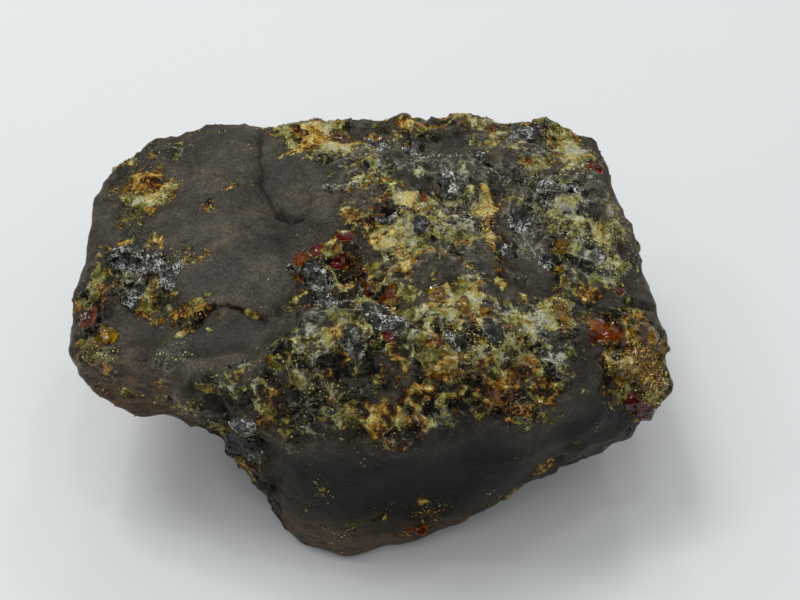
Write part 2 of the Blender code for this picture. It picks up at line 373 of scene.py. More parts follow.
# Flow lines of the resin: noise drawn out along the lobe and along the feet of the faces.
FLOW = {
    "lobe front": (-44, -24, 33, 17, 7, 8, 1.0),
    "foot": (4, -38, 6, 24, 9, 9, 0.9),
    "back foot": (2, 36, 10, 30, 10, 9, 0.8),
    "lobe back": (-44, 40, 35, 14, 8, 8, 0.9),
}
flow = belonging(laid, FLOW)
rise += 0.45 * flow * cloud(laid * (0.16, 0.5, 1.0), 1.7, seed=11, octaves=2)

rise += sum(ledge(*step) for step in LEDGES.values()) + sum(groove(*crease) for crease in GROOVES)
vein_away = beside(waved[:, :2], VEIN)[0]
rise += VEIN_HIGH * bell(vein_away, VEIN_WIDE) * on_top
# The layers of the resin show as thin steps beside the terrace's edge.
ledge_away, back_ledge_away = (beside(waved[:, :2], line)[0] for line in (TERRACE_LEDGE, TERRACE_BACK_LEDGE))
ledge_away = np.minimum(ledge_away, back_ledge_away + 0.5)
layers = np.sin(ledge_away * 4.2 + 1.6 * cloud(laid, 5, seed=13, octaves=2)) * bell(ledge_away, 4) * on_top
rise += 0.16 * layers

rib_away, _, rib_along = beside(laid, RIB)
rib = bell(rib_away, RIB_WIDE)
rise += rib * (RIB_HIGH + 0.35 * np.cos(rib_away * 4.2 + rib_along * 0.5))
rise -= HOLE_DEEP * bell(np.linalg.norm(laid - HOLE, axis=1), HOLE_WIDE)

skin = laid + facing * (rise * lying)[:, None]
skin[:, 2] = np.maximum(skin[:, 2], 0)
rind = new_piece("rind", skin, rind_quads)

# How much of each finish a place has, as spots: first its cream crust.
CRUST = {
    "left": (-47, 23, 43, 9, 8, 6, 1.25),
    "back of the valley": (-12, 33, 48, 10, 9, 6, 1.5),
    "rim of the valley": (-15, 40, 46, 8, 4, 4, 0.8),
    "dome": (-32, 14, 49, 2, 3.5, 3, 0.7),
    "beside the dome": (-49, 9, 43, 3, 3.5, 3, 1.0),
    "right of the valley": (-2, 8, 50, 5, 7, 5, 1.1),
    "gold": (9, 16, 50, 5, 4, 4, 1.2),
    "middle": (4, 3, 50, 7, 8, 5, 1.0),
    "cream": (18, -15, 51, 8, 6, 5, 2.0),
    "cream right": (31, -17, 48, 8, 5, 5, 1.5),
    "strip": (21, 12, 48, 4, 1.5, 4, 1.0),
    "glass rim": (-36, 1, 46, 5, 3, 5, 0.95),
    "glass foot": (-38, -8, 44, 10, 3, 5, 0.85),
    "pool crumbs": (-34, -20, 43, 3, 3, 4, 0.65),
    "hollow rim": (-13, -3, 47, 2.5, 6, 5, 0.8),
    "hollow foot": (-4, -13, 49, 9, 3, 5, 0.7),
    "brow left": (-21, -29, 44, 7, 5, 5, 0.6),
    "brow second": (-4, -32, 44, 9, 4, 4, 0.6),
    "brow third": (10, -28, 48, 7, 5, 4, 0.6),
    "brow fourth": (25, -29, 43, 9, 4, 4, 0.55),
    "brow fifth": (38, -25, 43, 8, 4, 4, 0.55),
    "front left": (-9, -35, 37, 6, 4, 6, 0.5),
    "front foot left": (-10, -37, 16, 5, 5, 10, 0.6),
    "front middle": (10, -37, 16, 12, 5, 5, 0.45),
    "front right": (39, -29, 26, 7, 4, 3, 0.55),
    "notch": (-24, -26, 16, 5, 5, 12, 0.5),
    "terrace rim": (16, 35, 47, 7, 4, 4, 0.7),
    "back rim": (18, 43, 45, 30, 3, 4, 0.75),
    "back right corner": (44, 33, 45, 8, 7, 5, 1.3),
    "right rim": (49, 12, 43, 4, 15, 5, 0.95),
    "left edge": (-54, -3, 40, 2.5, 9, 4, 0.9),
    "right corner": (52, -18, 35, 6, 7, 9, 0.7),
    "back face": (14, 45, 30, 10, 6, 7, 0.6),
    "back left": (-36, 40, 38, 9, 5, 5, 0.7),
    "right wall": (56, 16, 22, 7, 8, 7, 0.55),
    "top right": (15, 17, 48, 7, 6, 5, 0.6),
    "ledge": (20, 27, 47, 14, 3, 4, 0.5),
    "crest": (0, -25, 49, 8, 4, 5, 0.5),
    "right of the hollow": (44, 14, 46, 6, 9, 5, 0.6),
    "beyond the terrace": (26, 36, 46, 12, 5, 5, 0.7),
    "lobe front": (-42, -25, 31, 12, 4, 4, 0.6),
    "belly": (-32, 14, 12, 7, 12, 6, 0.55),
    "right belly": (40, -10, 8, 10, 9, 5, 0.5),
}
# Rusty crumbs, which also warm the crust.
RUST = {
    "pool step": (-31, -10, 45, 10, 4, 5, 1.0),
    "left edge": (-53, -6, 40, 3.5, 10, 5, 1.0),
    "glass rim": (-37, -2, 46, 6, 6, 5, 0.7),
    "right of the valley": (-2, 7, 49, 7, 10, 5, 1.1),
    "hollow": (0, -3, 48, 10, 8, 6, 1.0),
    "dome": (-32, 14, 49, 3, 5, 3, 0.6),
    "gold": (8, 15, 50, 9, 7, 4, 1.2),
    "vein": (26, 5, 48, 2.5, 14, 5, 0.9),
    "brow left": (-19, -30, 42, 9, 5, 5, 1.0),
    "brow middle": (4, -33, 43, 16, 5, 6, 0.95),
    "brow right": (28, -29, 42, 14, 6, 5, 1.2),
    "right corner": (50, -17, 38, 9, 9, 8, 0.9),
    "lobe front": (-42, -24, 32, 16, 6, 5, 0.75),
    "front foot": (6, -37, 10, 14, 6, 8, 0.55),
    "back rim": (20, 43, 45, 34, 4, 4, 0.8),
    "right rim": (50, 10, 42, 4, 18, 6, 0.7),
    "valley back": (-14, 32, 48, 12, 11, 6, 0.7),
    "left crust": (-47, 23, 43, 11, 10, 6, 0.7),
    "back face": (10, 44, 26, 20, 8, 12, 0.6),
    "notch": (-25, -26, 16, 7, 6, 14, 0.5),
    "right wall": (55, 12, 20, 8, 14, 9, 0.6),
}
# White, sugar-like edges, and painted glints: white specks on the glassy breaks that stand in for
# reflections.
FROST_AND_GLINTS = {
    "middle of the top": (14, 8, 49, 14, 20, 6, 0.9),
    "ledge": (18, 25, 47, 24, 7, 6, 1.1),
    "beyond the ledge": (33, 16, 47, 9, 8, 6, 0.8),
    "right of the top": (42, 12, 45, 12, 22, 6, 0.9),
    "terrace": (30, 38, 45, 20, 6, 6, 0.6),
    "left glass": (-44, -1, 43, 8, 6, 6, 1.0),
    "glossy hollow": (-3, -7, 48, 11, 8, 6, 0.95),
    "front crest": (12, -21, 50, 24, 6, 6, 0.8),
    "brow": (-4, -32, 43, 16, 5, 5, 0.55),
    "back": (30, 42, 34, 20, 8, 10, 0.5),
    "rib": (-33, -25, 37, 6, 5, 8, 0.6),
    "smooth hollow": (34, 7, 46, 8, 15, 6, 0.8),
    "terrace front": (6, 31, 47, 13, 6, 5, 0.7),
    "back right": (44, 32, 45, 9, 8, 6, 0.8),
    "cream": (21, -15, 50, 8, 4, 5, 0.6),
}
# Black resin that a flake laid bare.
BARE = {
    "glossy hollow": (-6, -6, 47, 9, 8, 6, 1.25),
    "glossy hollow right": (2, -17, 50, 7, 6, 5, 1.15),
    "left glass": (-43, 0, 42, 11, 7, 7, 1.3),
    "terrace": (4, 33, 46, 12, 5, 5, 0.5),
    "notch": (-24, -27, 24, 7, 6, 12, 0.6),
    "under the brow": (-22, -29, 34, 8, 5, 7, 0.7),
    "back": (32, 41, 30, 10, 8, 8, 0.7),
    "lobe back": (-40, 38, 36, 7, 6, 5, 0.6),
}
# Rind as dark as the resin under it; on the front face, the feet, under the brow and in the notch
# this darkness is partly painted shade.
DARK_AND_PAINTED_SHADE = {
    "front face": (14, -37, 22, 34, 8, 15, 1.3),
    "oval facet": (43, -28, 29, 11, 8, 7, 1.3),
    "under the brow": (-22, -29, 34, 8, 5, 7, 0.8),
    "notch": (-24, -27, 24, 8, 7, 14, 0.9),
    "glossy hollow": (-5, -5, 46, 8, 6, 6, 0.9),
    "lobe foot": (-45, -16, 27, 14, 9, 5, 0.6),
    "right foot": (42, -14, 12, 14, 14, 8, 0.6),
    "back face": (-10, 44, 22, 26, 9, 12, 0.7),
    "middle pool": (-27, -18, 43, 11, 5.5, 6, 0.55),
    "left pool": (-42, -13, 40, 8, 5, 6, 0.55),
    "valley": (-19, 14, 46, 4, 20, 7, 0.4),
    "terrace": (4, 33, 46, 11, 4.5, 5, 0.4),
    "front crest": (14, -20, 50, 22, 6, 6, 0.5),
}
# Where the fill is closed, and where it is dull.
CREST, BROW = {"crest": (2, -27, 47, 8, 5, 5, 0.35)}, {"brow": (8, -32, 43, 34, 6, 7, 0.2)}


def set_values(piece, values):
    """Stores values for each point of the piece's mesh, which its material reads by their names."""
    for name, value in values.items():
        stored = piece.data.attributes.new(name, "FLOAT", "POINT")
        stored.data.foreach_set("value", value.astype(np.float32))


patchy, fine = cloud(laid, 7, seed=15, octaves=4), cloud(laid, 2.4, seed=23, octaves=2)
white_edge = bell(ledge_away, 1.1) + 0.6 * np.clip(layers, 0, 1)
cracked = np.min([beside(waved[:, :2], crack)[0] for crack in SHELL_CRACKS], axis=0)
vein = np.clip(1.6 * bell(vein_away, VEIN_COLOUR_WIDE), 0, 1) * on_top
lip_away, _, lip_along = beside(waved[:, :2], POOL_STEP)
lip = bell(lip_away, 0.8) * tapered(lip_along) * on_top
crust, rust, frost_and_glints = (belonging(strayed, spots, 2) for spots in (CRUST, RUST, FROST_AND_GLINTS))
# Frost: white crust, and partly painted glints; the rib, the ledge edges and the cracks get it too.
frost_and_glints += 0.7 * rib
frost_and_glints += (0.5 * white_edge + 1.1 * bell(ledge_away, 0.6) + 0.4 * bell(cracked - 1.0, 0.5)) * on_top
busy = [0.95 * broken - 0.02, 0.95 * np.minimum(crust, 1.1), 0.8 * rust, vein, 0.8 * lip]
busy = np.maximum.reduce(busy) + 0.28 * patchy + belonging(laid, CREST, 2)
pale = 0.09 + 0.50 * crust + 0.24 * frost_and_glints + 0.35 * vein + 0.18 * patchy + 0.1 * fine
pale -= belonging(laid, BROW, 2)
warm = 0.45 + 0.50 * rust - 0.3 * frost_and_glints * (1 - vein) + 0.2 * vein + 0.4 * lip
warm += 0.35 * cloud(laid, 9, seed=19, octaves=2)
bare = belonging(strayed, BARE, 2) + 0.35 * cloud(laid, 4, seed=17, octaves=3)
set_values(rind, {
    "busy": np.clip(busy, 0, 1.1),  # how much of the place the fill covers
    "pale": np.clip(pale, 0, 1.1),  # how bright the fill is
    "warm": np.clip(warm, 0, 1),  # grey, cream or rusty
    "frost_and_glints": np.clip(0.5 * frost_and_glints + 0.35 * ridges * broken + 0.2 * patchy, 0, 1),
    "bare": np.clip(bare, 0, 1),
    "broken": broken,
    # painted shade: how far the skin lies below its neighbours
    "hollow": np.clip(0.5 - 0.75 * (rise - even(rise, rind_quads, 9)), 0, 1),
    # dark resin, and partly painted shade on the front face, the feet, under the brow and in the notch
    "dark": np.clip(belonging(strayed, DARK_AND_PAINTED_SHADE, 3) + 0.14 * patchy, 0, 1),
    "flow": flow,
})


def fed(made, sockets):
    """Gives each socket of a shader node a plain value, or another node's output to follow."""
    for name, given in sockets.items():
        if isinstance(given, bpy.types.NodeSocket):
            made.id_data.links.new(given, made.inputs[name])
        else:
            made.inputs[name].default_value = given
    return made


def node(tree, kind, sockets, **settings):
    """Adds a shader node with these settings and feeds its sockets."""
    made = tree.nodes.new("ShaderNode" + kind)
    for name, setting in settings.items():
        setattr(made, name, setting)
    return fed(made, sockets)


def mixed(share, first, second):
    """The first colour where share is nought, the second where it is one. A number is a grey."""
    sockets = {0: share}
    for place, colour in ((6, first), (7, second)):
        colour = (colour,) * 3 if isinstance(colour, float) else colour
        sockets[place] = (*colour, 1) if isinstance(colour, tuple) else colour
    return node(share.id_data, "Mix", sockets, data_type="RGBA").outputs[2]


def reckoned(operation, first, second, third=0.0):
    """The result of one sum, on a node's output and one or two more values."""
    return node(first.id_data, "Math", {0: first, 1: second, 2: third}, operation=operation).outputs[0]


def times(first, second):
    return reckoned("MULTIPLY", first, second)


def plus(first, second):
    return reckoned("ADD", first, second)


def larger(first, second):
    return reckoned("MAXIMUM", first, second)


def scaled(value, factor, more):
    """The value times the factor, plus more."""
    return reckoned("MULTIPLY_ADD", value, factor, more)


def shared(first, portion, second):
    """The mean of two values, the first one weighed by its portion."""
    return plus(times(first, portion), times(second, 1 - portion))


def spread_over(value, low, high, to_low=0.0, to_high=1.0):
    """The value moved, with a soft start and end, from the range low to high to the other range."""
    ranged = {"Value": value, "From Min": low, "From Max": high, "To Min": to_low, "To Max": to_high}
    return node(value.id_data, "MapRange", ranged, interpolation_type="SMOOTHSTEP").outputs[0]


def moved(place, shift):
    """The place moved by a shift along x, y and z."""
    return node(place.id_data, "VectorMath", {0: place, 1: shift}).outputs[0]


def squeezed(place, factors):
    """The place times a factor along each of x, y and z, so a pattern on it is drawn out."""
    return node(place.id_data, "Mapping", {"Vector": place, "Scale": factors}).outputs[0]


def noise(place, scale, detail, rough=0.6):
    """Height of soft noise at the place."""
    given = {"Vector": place, "Scale": scale, "Detail": detail, "Roughness": rough}
    return node(place.id_data, "TexNoise", given).outputs["Fac"]


def bumped(height, distance, strength=1.0):
    """The normal of a skin with this height."""
    given = {"Strength": strength, "Distance": distance, "Height": height}
    return node(height.id_data, "Bump", given).outputs[0]


def ramp(value, stops):
    """The colour at the value on a ramp through the stops, each a place, 0 to 1, and a colour."""
    made = node(value.id_data, "ValToRGB", {"Fac": value})
    stop = made.color_ramp.elements
    stop[0].position, stop[0].color = stops[0][0], (*stops[0][1], 1)
    stop[1].position, stop[1].color = stops[-1][0], (*stops[-1][1], 1)
    for place, colour in stops[1:-1]:
        stop.new(place).color = (*colour, 1)
    return made.outputs["Color"]


def new_group(name, **inputs):
    """Opens a shader node group with these inputs and their usual values. Returns the place on the
    object, and the inputs."""
    tree = bpy.data.node_groups.new(name, "ShaderNodeTree")
    for label, usual in inputs.items():
        socket = tree.interface.new_socket(label, in_out="INPUT", socket_type="NodeSocketFloat")
        socket.default_value = usual
    return node(tree, "TexCoord", {}).outputs["Object"], tree.nodes.new("NodeGroupInput").outputs


def group_giving(**results):
    """Closes a shader node group, which puts out these results by their names, and returns it."""
    tree = next(iter(results.values())).id_data
    for label in results:
        tree.interface.new_socket(label, in_out="OUTPUT", socket_type="NodeSocketFloat")
    return fed(tree.nodes.new("NodeGroupOutput"), results).id_data


def placed(tree, group, **sockets):
    """Places a group in a material and returns its outputs."""
    return node(tree, "Group", sockets, node_tree=group).outputs


def make_cover():
    """Patches that break up into specks at their edges, and cover the share given by Density. Rough
    noise of many sizes is cut at a height that falls as the density rises."""
    place, given = new_group("cover", Density=0.5, Scale=300.0, Seed=0.0)
    aside = node(place.id_data, "CombineXYZ", {"X": given["Seed"]}).outputs[0]
    height = noise(moved(place, aside), given["Scale"], 7.0, 0.74)
    over = reckoned("SUBTRACT", height, scaled(given["Density"], -0.36, 0.70))
    return group_giving(Mask=spread_over(over, -0.015, 0.03))


def make_grit():
    """Fine unevenness of a weathered skin: soft noise and sharp small pits added up. Tone is softer
    noise, for the skin's lighter and darker places."""
    place, given = new_group("grit", Scale=900.0)
    pits = {"Vector": place, "Scale": times(given["Scale"], 0.8)}
    sharp = spread_over(node(place.id_data, "TexVoronoi", pits).outputs["Distance"], 0.0, 0.55)
    height = plus(noise(place, given["Scale"], 4.0, 0.65), times(sharp, 0.45))
    return group_giving(Height=height, Tone=noise(place, times(given["Scale"], 0.08), 5.0, 0.62))


def make_chips():
    """Flake scars. The place is stirred by noise and the nearest of scattered seeds is found. Each
    seed's scar is a plane through it with a random tilt, plus a shallow dish, so the scars meet in
    steps and ridges. Height is in millimetres, Cell is the scar's own random number, and Rim is a
    thin line along the scars' edges, broken up by rough noise."""
    place, given = new_group("chips", Scale=600.0, Stir=0.0006)
    tree = place.id_data
    stir = {"Vector": place, "Scale": given["Scale"], "Detail": 2.0}
    stir = {0: node(tree, "TexNoise", stir).outputs["Color"], "Scale": given["Stir"]}
    place = moved(place, node(tree, "VectorMath", stir, operation="SCALE").outputs[0])
    where = {"Vector": place, "Scale": given["Scale"]}
    seeds = node(tree, "TexVoronoi", where).outputs
    offset = node(tree, "VectorMath", {0: place, 1: seeds["Position"]}, operation="SUBTRACT").outputs[0]
    lean = node(tree, "VectorMath", {0: seeds["Color"], 1: (0.5,) * 3}, operation="SUBTRACT").outputs[0]
    tilt = node(tree, "VectorMath", {0: offset, 1: lean}, operation="DOT_PRODUCT").outputs["Value"]
    dish = reckoned("DIVIDE", seeds["Distance"], given["Scale"])
    edge = node(tree, "TexVoronoi", where, feature="DISTANCE_TO_EDGE").outputs[0]
    gaps = noise(place, times(given["Scale"], 2.5), 5.0, 0.7)
    return group_giving(
        Height=plus(times(tilt, 700.0), times(dish, 220.0)),
        Cell=node(tree, "SeparateColor", {"Color": seeds["Color"]}).outputs[0],
        Rim=times(spread_over(edge, 0.16, 0.02), spread_over(gaps, 0.42, 0.58)),
    )


def make_edges():
    """Thin wavy lines side by side, like the edges of layers in a break: the height of soft noise is
    cut into many steps, and the lines lie where one step ends. Rough noise breaks them up."""
    place, given = new_group("edges", Scale=90.0, Steps=12.0)
    height = noise(squeezed(place, (0.6, 1.5, 2.2)), given["Scale"], 4.0, 0.55)
    part = reckoned("PINGPONG", times(height, given["Steps"]), 0.5)
    gaps = noise(place, times(given["Scale"], 9.0), 4.0, 0.7)
    return group_giving(Mask=times(spread_over(part, 0.07, 0.0), spread_over(gaps, 0.46, 0.56)))


cover_group, grit_group, chips_group, edges_group = make_cover(), make_grit(), make_chips(), make_edges()


def cover(density, scale, seed):
    """The cover group's mask."""
    return placed(density.id_data, cover_group, Density=density, Scale=scale, Seed=seed)["Mask"]


def new_material(name, ior, **plain):
    """A material with one Principled shader, its index of refraction and other plain values. Returns
    the material, the place on the object, and the shader."""
    material = bpy.data.materials.new(name)
    material.use_nodes = True
    shader = material.node_tree.nodes["Principled BSDF"]
    fed(shader, {"IOR": ior} | {socket.replace("_", " "): value for socket, value in plain.items()})
    return material, node(material.node_tree, "TexCoord", {}).outputs["Object"], shader


def stored(tree, *names):
    """The values that are stored for each point of the mesh, by their names."""
    return {name: node(tree, "Attribute", {}, attribute_name=name).outputs["Fac"] for name in names}


AMBER_IOR = 1.54
# Colours by brightness, as a share of the light that they send back.
RIND_TONES = [(0.0, (0.015, 0.013, 0.011)), (0.35, (0.040, 0.035, 0.027)), (0.62, (0.067, 0.057, 0.042)),
              (0.8, (0.096, 0.079, 0.053)), (1.0, (0.16, 0.125, 0.072))]
RED_RIND = (0.135, 0.086, 0.055)
# Nearly black rind for the dark places, partly painted shade; and black resin where it is bare.
DARK_RESIN_AND_SHADE, BARE_RESIN = (0.006, 0.0058, 0.0052), (0.005, 0.0047, 0.004)
# What fills the broken places, from its gaps to its brightest crumbs: grey, cream and rust.
GREY_FILL = [(0.0, (0.004, 0.0042, 0.004)), (0.3, (0.015, 0.015, 0.012)), (0.5, (0.043, 0.042, 0.032)),
             (0.7, (0.135, 0.127, 0.097)), (0.88, (0.38, 0.37, 0.275)), (1.0, (0.62, 0.62, 0.50))]
CREAM_FILL = [(0.0, (0.005, 0.0045, 0.003)), (0.28, (0.027, 0.024, 0.009)), (0.48, (0.105, 0.092, 0.021)),
              (0.68, (0.33, 0.285, 0.055)), (0.88, (0.57, 0.52, 0.155)), (1.0, (0.74, 0.71, 0.42))]
RUST_FILL = [(0.0, (0.006, 0.003, 0.002)), (0.25, (0.032, 0.012, 0.005)), (0.45, (0.110, 0.038, 0.010)),
             (0.64, (0.36, 0.150, 0.015)), (0.84, (0.68, 0.42, 0.060)), (1.0, (0.92, 0.76, 0.28))]
# White of the frost, which is partly painted glints.
FROST_AND_GLINT_WHITE = (0.68, 0.68, 0.52)
# The bright pocket floors under the clear resin are painted glow: they stand in for light shining through
# the resin.
SEAT_DARK, SEAT_PAINTED_GLOW = (0.04, 0.025, 0.008), (1.0, 0.84, 0.42)  # in the pockets, under clear resin
# Clean resin on some of the flake scars, from its depths to its rims: yellow-green and amber.
GREEN_RESIN = [(0.0, (0.012, 0.011, 0.003)), (0.35, (0.075, 0.070, 0.012)), (0.6, (0.24, 0.225, 0.030)),
               (0.82, (0.44, 0.41, 0.070)), (1.0, (0.62, 0.59, 0.22))]
AMBER_RESIN = [(0.0, (0.010, 0.003, 0.001)), (0.35, (0.075, 0.018, 0.003)), (0.6, (0.28, 0.085, 0.006)),
               (0.82, (0.62, 0.30, 0.020)), (1.0, (0.88, 0.66, 0.16))]


def make_rind_material():
    """Dark rind, and where it is broken a fill of grey, cream and rusty crumbs with dark gaps, whose
    mixture and brightness follow the values stored on the skin; black glossy resin where it is bare."""
    material, place, shader = new_material("weathered amber rind", AMBER_IOR, Specular_IOR_Level=0.13)
    tree = place.id_data
    value = stored(tree, "busy", "pale", "warm", "frost_and_glints", "bare", "broken", "flow", "hollow", "dark", "seat")

    def stretched(scale, detail, rough, low=0.36, high=0.65, shift=0.0):
        """Soft noise spread over nought to one; shift gives the same noise elsewhere."""
        return spread_over(noise(moved(place, (shift, 0.0, 0.0)), scale, detail, rough), low, high)

    grit = placed(tree, grit_group, Scale=1300.0)
    chips = placed(tree, chips_group, Scale=290.0, Stir=0.0036)
    small_chips = placed(tree, chips_group, Scale=760.0, Stir=0.0012)
    edges = placed(tree, edges_group, Scale=90.0, Steps=13.0)["Mask"]
    tone = spread_over(grit["Tone"], 0.36, 0.66)
    grain = stretched(1700.0, 4.0, 0.8)
    mottle = stretched(420.0, 6.0, 0.7, 0.33, 0.67)
    crumbs = stretched(520.0, 6.0, 0.78)
    patch, hues = stretched(150.0, 3.0, 0.5, shift=1.7), stretched(240.0, 5.0, 0.68, shift=3.3)
    streaks = noise(squeezed(place, (110.0, 900.0, 1500.0)), 1.0, 4.0)

    # The rind itself, redder along its flow lines and nearly black on the dark faces: dark resin, and
    # partly painted shade on the front face, the feet, under the brow and in the notch.
    colour = ramp(shared(tone, 0.35, shared(grain, 0.75, mottle)), RIND_TONES)
    colour = mixed(times(spread_over(streaks, 0.40, 0.56), value["flow"]), colour, RED_RIND)
    colour = mixed(times(value["dark"], 0.97), colour, DARK_RESIN_AND_SHADE)

    # How bright the fill's crumbs are. Some of the scars are clean, and the fill is dark in them. On the
    # dark places it is darker too, which is partly painted shade.
    clean = times(spread_over(chips["Cell"], 0.44, 0.40), spread_over(value["pale"], 1.0, 0.7))
    brightness = shared(crumbs, 0.76, shared(chips["Cell"], 0.4, small_chips["Cell"]))
    for lift in (
        scaled(value["pale"], 0.86, -0.175),
        scaled(patch, 0.26, -0.1258),
        times(chips["Height"], 0.12),
        times(small_chips["Height"], 0.12),
        times(clean, -0.34),
        times(chips["Rim"], 0.2),
        times(value["dark"], -0.16),
    ):
        brightness = plus(brightness, lift)

    # The fill's colour goes from grey to cream to rust, and some scars show clean resin instead.
    hue = plus(hues, scaled(value["warm"], 0.9, -0.45))
    fill = mixed(spread_over(hue, 0.06, 0.30), ramp(brightness, GREY_FILL), ramp(brightness, CREAM_FILL))
    fill = mixed(spread_over(hue, 0.58, 0.82), fill, ramp(brightness, RUST_FILL))
    glass = times(spread_over(chips["Cell"], 0.70, 0.74), spread_over(value["pale"], 0.15, 0.38))
    depth = plus(shared(mottle, 0.45, small_chips["Cell"]), scaled(value["pale"], 0.4, -0.09))
    depth = plus(depth, times(chips["Rim"], 0.45))
    resin = mixed(spread_over(hue, 0.55, 0.75), ramp(depth, GREEN_RESIN), ramp(depth, AMBER_RESIN))
    fill = mixed(times(glass, 0.85), fill, resin)
    filled = cover(plus(value["busy"], times(clean, -0.12)), 300.0, 0.0)
    colour = mixed(filled, colour, fill)

    # Over it lie the bare breaks, the white frost on the edges, part of which is painted glints, and
    # painted shade in the hollows, where the skin lies below its neighbours.
    bare = spread_over(plus(value["bare"], times(mottle, 0.3)), 0.72, 0.9)
    bare = times(bare, spread_over(brightness, 0.65, 0.5))
    colour = mixed(bare, colour, BARE_RESIN)
    # Frost and painted glints: white specks and thin white lines.
    frost_and_glints = cover(times(value["frost_and_glints"], 0.44), 1100.0, 7.7)
    lines = larger(times(edges, 0.55), times(chips["Rim"], 0.25))
    frost_and_glints = larger(frost_and_glints, times(lines, spread_over(value["frost_and_glints"], 0.15, 0.45)))
    colour = mixed(frost_and_glints, colour, FROST_AND_GLINT_WHITE)
    # Painted shade: darker where the skin lies below its neighbours.
    colour = mixed(spread_over(value["hollow"], 0.55, 1.0, 0.0, 0.75), colour, BARE_RESIN)
    # Painted glow: mottled pocket floors under the clear resin, bright in place of light shining through it.
    under = spread_over(shared(mottle, 0.6, small_chips["Cell"]), 0.2, 0.6)
    colour = mixed(spread_over(value["seat"], 0.3, 0.7), colour, mixed(under, SEAT_DARK, SEAT_PAINTED_GLOW))

    # Crumbs are dull, whole rind is satin, and clean chips and bare breaks are glossy.
    glossy = times(value["broken"], larger(spread_over(small_chips["Cell"], 0.35, 0.65), clean))
    glossy = times(glossy, spread_over(brightness, 0.75, 0.45))
    glossy = larger(larger(bare, glossy), times(glass, filled))
    dull = mixed(times(value["dark"], stretched(260.0, 4.0, 0.6, shift=5.1)), mixed(tone, 0.50, 0.68), 0.42)
    dull = mixed(filled, dull, mixed(spread_over(brightness, 0.25, 0.7), 0.45, 0.75))
    dull = mixed(frost_and_glints, mixed(glossy, dull, 0.07), 0.35)

    # Relief too fine for the mesh, in millimetres.
    height = times(grit["Height"], 0.09)
    chipping = plus(chips["Height"], small_chips["Height"])
    for part in (
        times(chipping, spread_over(value["broken"], 0.15, 0.8)),
        times(streaks, plus(times(value["flow"], 0.6), times(value["dark"], 0.25))),
        times(filled, times(brightness, 0.55)),
        times(times(grain, glossy), 0.20),
        times(frost_and_glints, 0.08),
    ):
        height = plus(height, part)
    fed(shader, {"Base Color": colour, "Roughness": dull, "Normal": bumped(height, MM)})
    return material


rind.data.materials.append(make_rind_material())
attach(rind, "root")
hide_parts("amber_lump")

# ---- Clear and dark resin ---------------------------------------------------------------------
# Pieces of the resin itself that the rind has broken off: clear yellow, orange and red amber, and
# black glassy resin with painted white glints, all still part of the mass. Each lies in a pocket of
# the rind and is chipped, and the clear ones stand a little proud of it.

